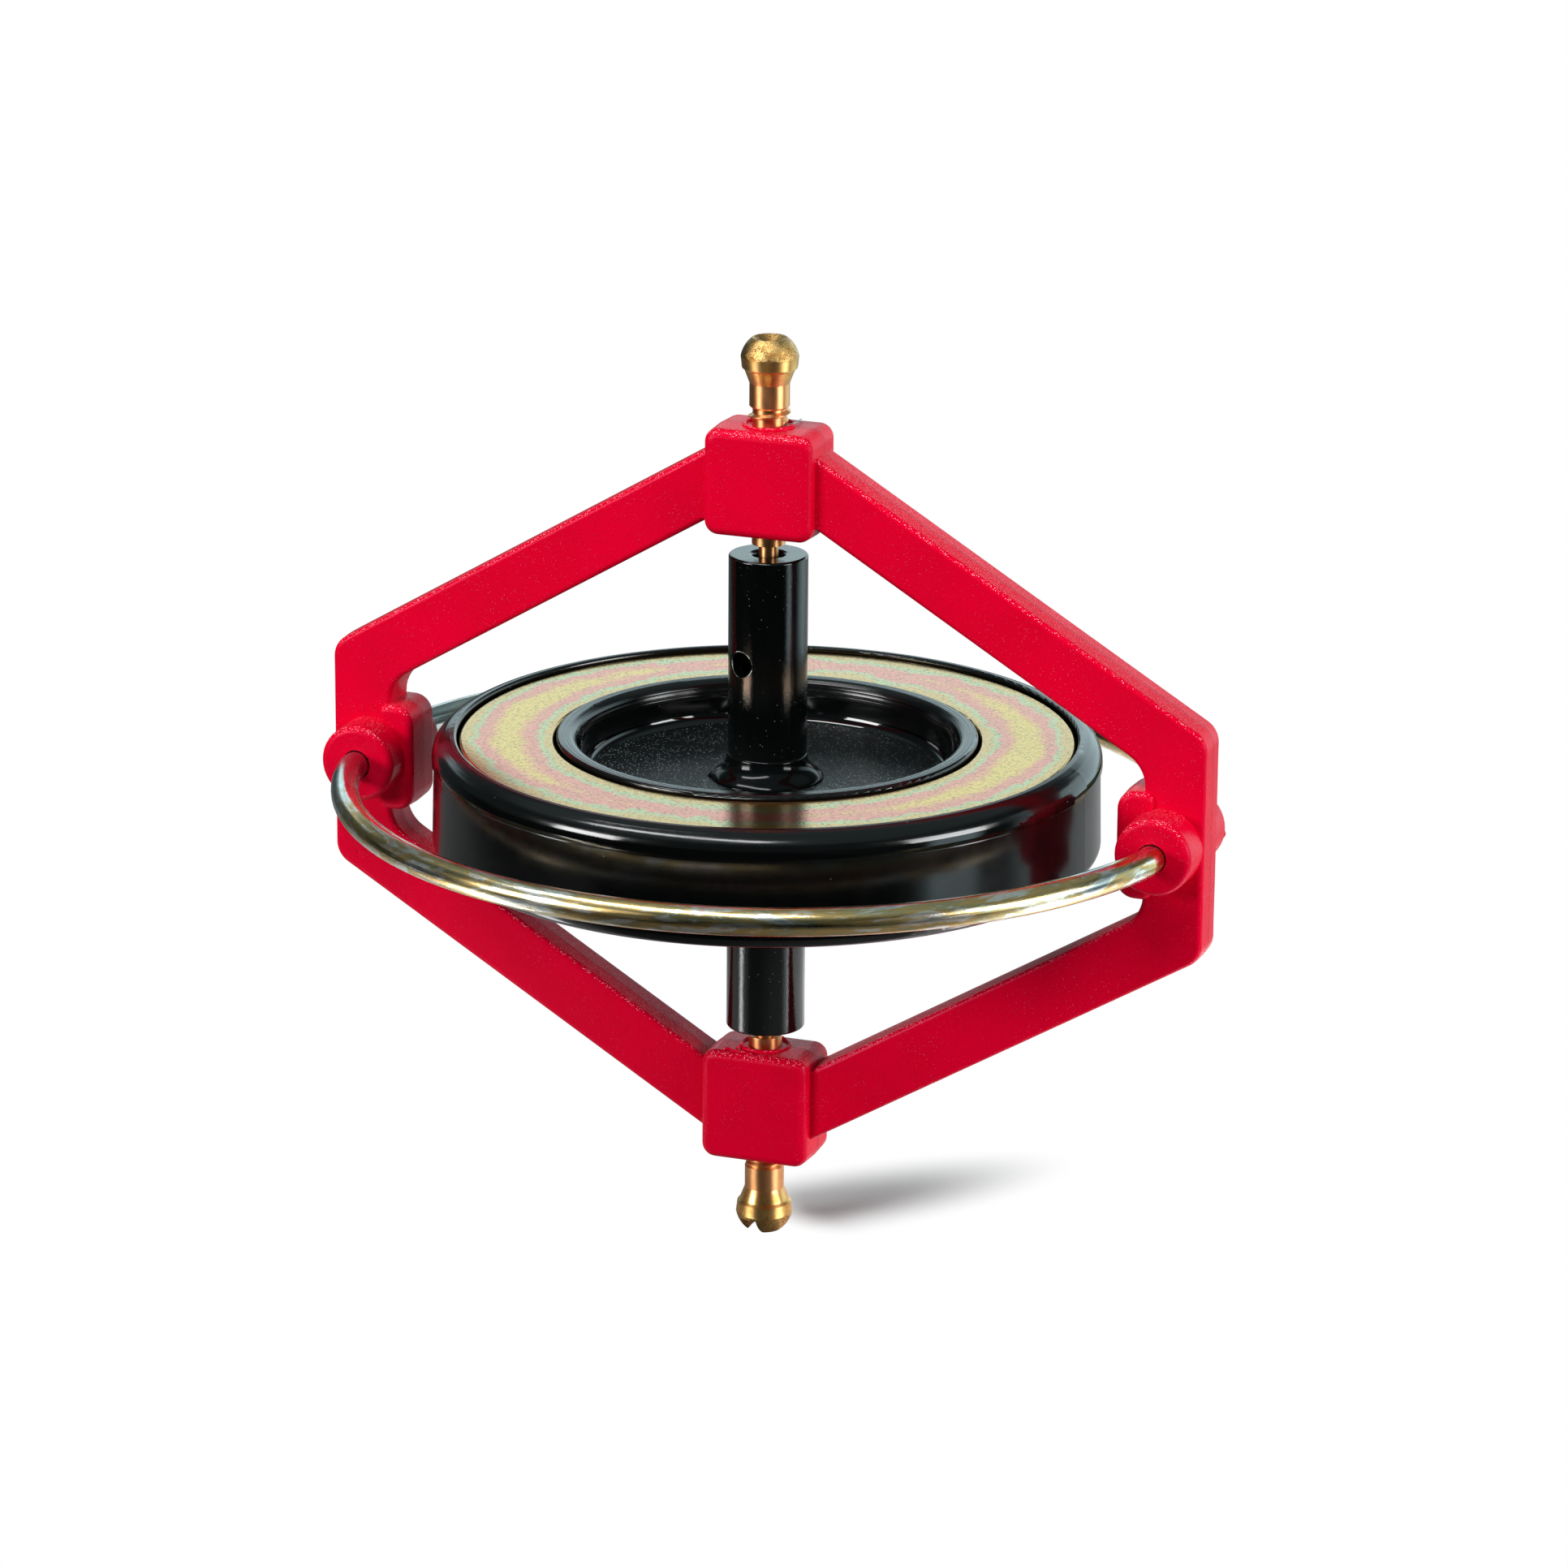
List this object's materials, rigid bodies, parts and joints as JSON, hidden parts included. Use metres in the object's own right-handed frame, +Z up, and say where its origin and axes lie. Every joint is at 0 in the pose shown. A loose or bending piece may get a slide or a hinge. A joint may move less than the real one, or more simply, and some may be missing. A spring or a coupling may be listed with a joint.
{
  "type": "gyroscope",
  "caption": "Hand gyroscope: steel-weighted black flywheel on a spindle between brass pivot screws in a red hexagonal frame with round guard wires.",
  "frame": {"origin": "tip of the lower pivot ball, on the spin axis, the lowest point of the gyroscope", "axes": "+Z up along the spin axis; X across the flat frame, from post to post; -Y towards the side that the pull string's hole faces"},
  "size_m": [0.0912, 0.0818, 0.0918],
  "materials": {
    "frame_plastic": "glossy red moulding",
    "guard_wire_steel": "mottled zinc and yellow passivated wire",
    "rotor_plastic": "semi-gloss black moulding with fine turned lines",
    "ring_steel": "turned, with irregular coloured bands",
    "spindle_plastic": "glossy black",
    "adhesive": "very glossy black, uneven",
    "bearing_steel": "plain",
    "screw_brass": "turned, slightly worn"
  },
  "bodies": {
    "frame": {"frame": "frame_plastic", "front_guard_wire": "guard_wire_steel", "rear_guard_wire": "guard_wire_steel"},
    "rotor": {"rotor_body": "rotor_plastic", "flywheel_ring": "ring_steel", "spindle": "spindle_plastic", "spindle_bead": "adhesive", "upper_bearing_cup": "bearing_steel", "lower_bearing_cup": "bearing_steel"},
    "upper_screw": {"upper_pivot_screw": "screw_brass"},
    "lower_screw": {"lower_pivot_screw": "screw_brass"}
  },
  "joints": [
    {"name": "rotor_spin", "type": "hinge", "parent": "frame", "child": "rotor", "pos_m": [0, 0, 0.04591], "axis": [0, 0, 1], "continuous": true},
    {"name": "upper_screw_turn", "type": "hinge", "parent": "frame", "child": "upper_screw", "pos_m": [0, 0, 0.07778], "axis": [0, 0, 1], "range_deg": [-25, 500]},
    {"name": "lower_screw_turn", "type": "hinge", "parent": "frame", "child": "lower_screw", "pos_m": [0, 0, 0.0137], "axis": [0, 0, -1], "range_deg": [-25, 500]}
  ]
}
